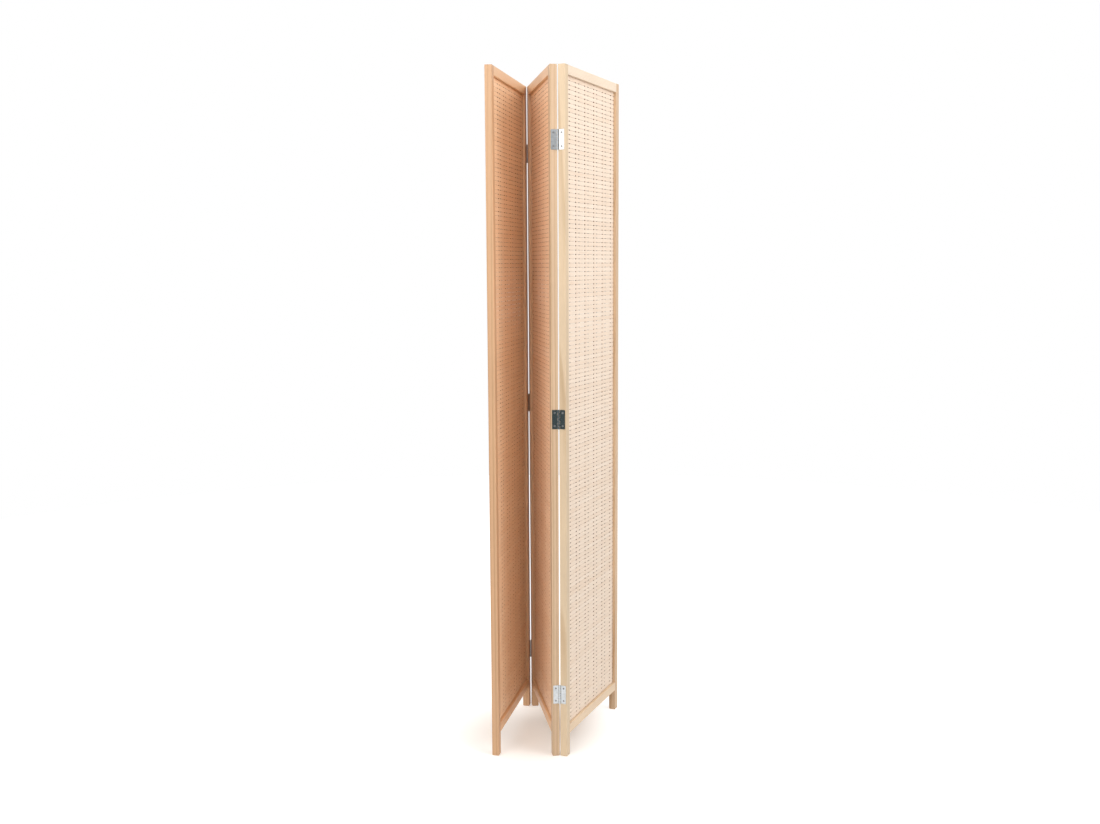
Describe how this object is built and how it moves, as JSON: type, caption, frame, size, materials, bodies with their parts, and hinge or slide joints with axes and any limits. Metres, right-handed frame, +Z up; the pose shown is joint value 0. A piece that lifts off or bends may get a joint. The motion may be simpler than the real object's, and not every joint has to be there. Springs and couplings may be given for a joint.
{
  "type": "folding partition",
  "caption": "Folding room divider: tall slim pine frames round woven wood-strip mats, joined edge to edge by butt hinges so that they fold like an accordion.",
  "frame": {"origin": "on the floor under the centre of the footprint, in the standing zigzag pose of the picture", "axes": "+Z up, +Y away from the viewer, +X to the viewer's right"},
  "size_m": [0.3546, 0.3852, 1.8],
  "materials": {
    "pine": "planed pine, clear matt varnish",
    "woven_wood": "thin flat wood strips, unvarnished",
    "stake_wood": "rounded flat sticks, unvarnished",
    "dowel_wood": "glued beech dowels",
    "zinc_steel": "zinc-plated rolled steel",
    "screw_steel": "zinc-plated countersunk screws"
  },
  "bodies": {
    "middle_panel": {"middle_front_stile": "pine", "middle_back_stile": "pine", "middle_top_rail": "pine", "middle_bottom_rail": "pine", "middle_dowels": "dowel_wood", "middle_stakes": "stake_wood", "middle_mat": "woven_wood", "back_bottom_hinge_right_leaf": "zinc_steel", "back_bottom_hinge_pin": "zinc_steel", "back_centre_hinge_right_leaf": "zinc_steel", "back_centre_hinge_pin": "zinc_steel", "back_top_hinge_right_leaf": "zinc_steel", "back_top_hinge_pin": "zinc_steel", "front_bottom_hinge_left_leaf": "zinc_steel", "front_bottom_hinge_pin": "zinc_steel", "front_centre_hinge_left_leaf": "zinc_steel", "front_centre_hinge_pin": "zinc_steel", "front_top_hinge_left_leaf": "zinc_steel", "front_top_hinge_pin": "zinc_steel", "back_hinge_right_screws": "screw_steel", "front_hinge_left_screws": "screw_steel"},
    "left_panel": {"left_front_stile": "pine", "left_back_stile": "pine", "left_top_rail": "pine", "left_bottom_rail": "pine", "left_dowels": "dowel_wood", "left_stakes": "stake_wood", "left_mat": "woven_wood", "back_bottom_hinge_left_leaf": "zinc_steel", "back_centre_hinge_left_leaf": "zinc_steel", "back_top_hinge_left_leaf": "zinc_steel", "back_hinge_left_screws": "screw_steel"},
    "right_panel": {"right_front_stile": "pine", "right_back_stile": "pine", "right_top_rail": "pine", "right_bottom_rail": "pine", "right_dowels": "dowel_wood", "right_stakes": "stake_wood", "right_mat": "woven_wood", "front_bottom_hinge_right_leaf": "zinc_steel", "front_centre_hinge_right_leaf": "zinc_steel", "front_top_hinge_right_leaf": "zinc_steel", "front_hinge_right_screws": "screw_steel"}
  },
  "joints": [
    {"name": "back_fold", "type": "hinge", "parent": "middle_panel", "child": "left_panel", "pos_m": [-0.07891, 0.18985, 0.9], "axis": [0, 0, -1], "range_deg": [-21.5, 158.5]},
    {"name": "front_fold", "type": "hinge", "parent": "middle_panel", "child": "right_panel", "pos_m": [0.00419, -0.1871, 0.9], "axis": [0, 0, -1], "range_deg": [-33.5, 146.5]}
  ]
}
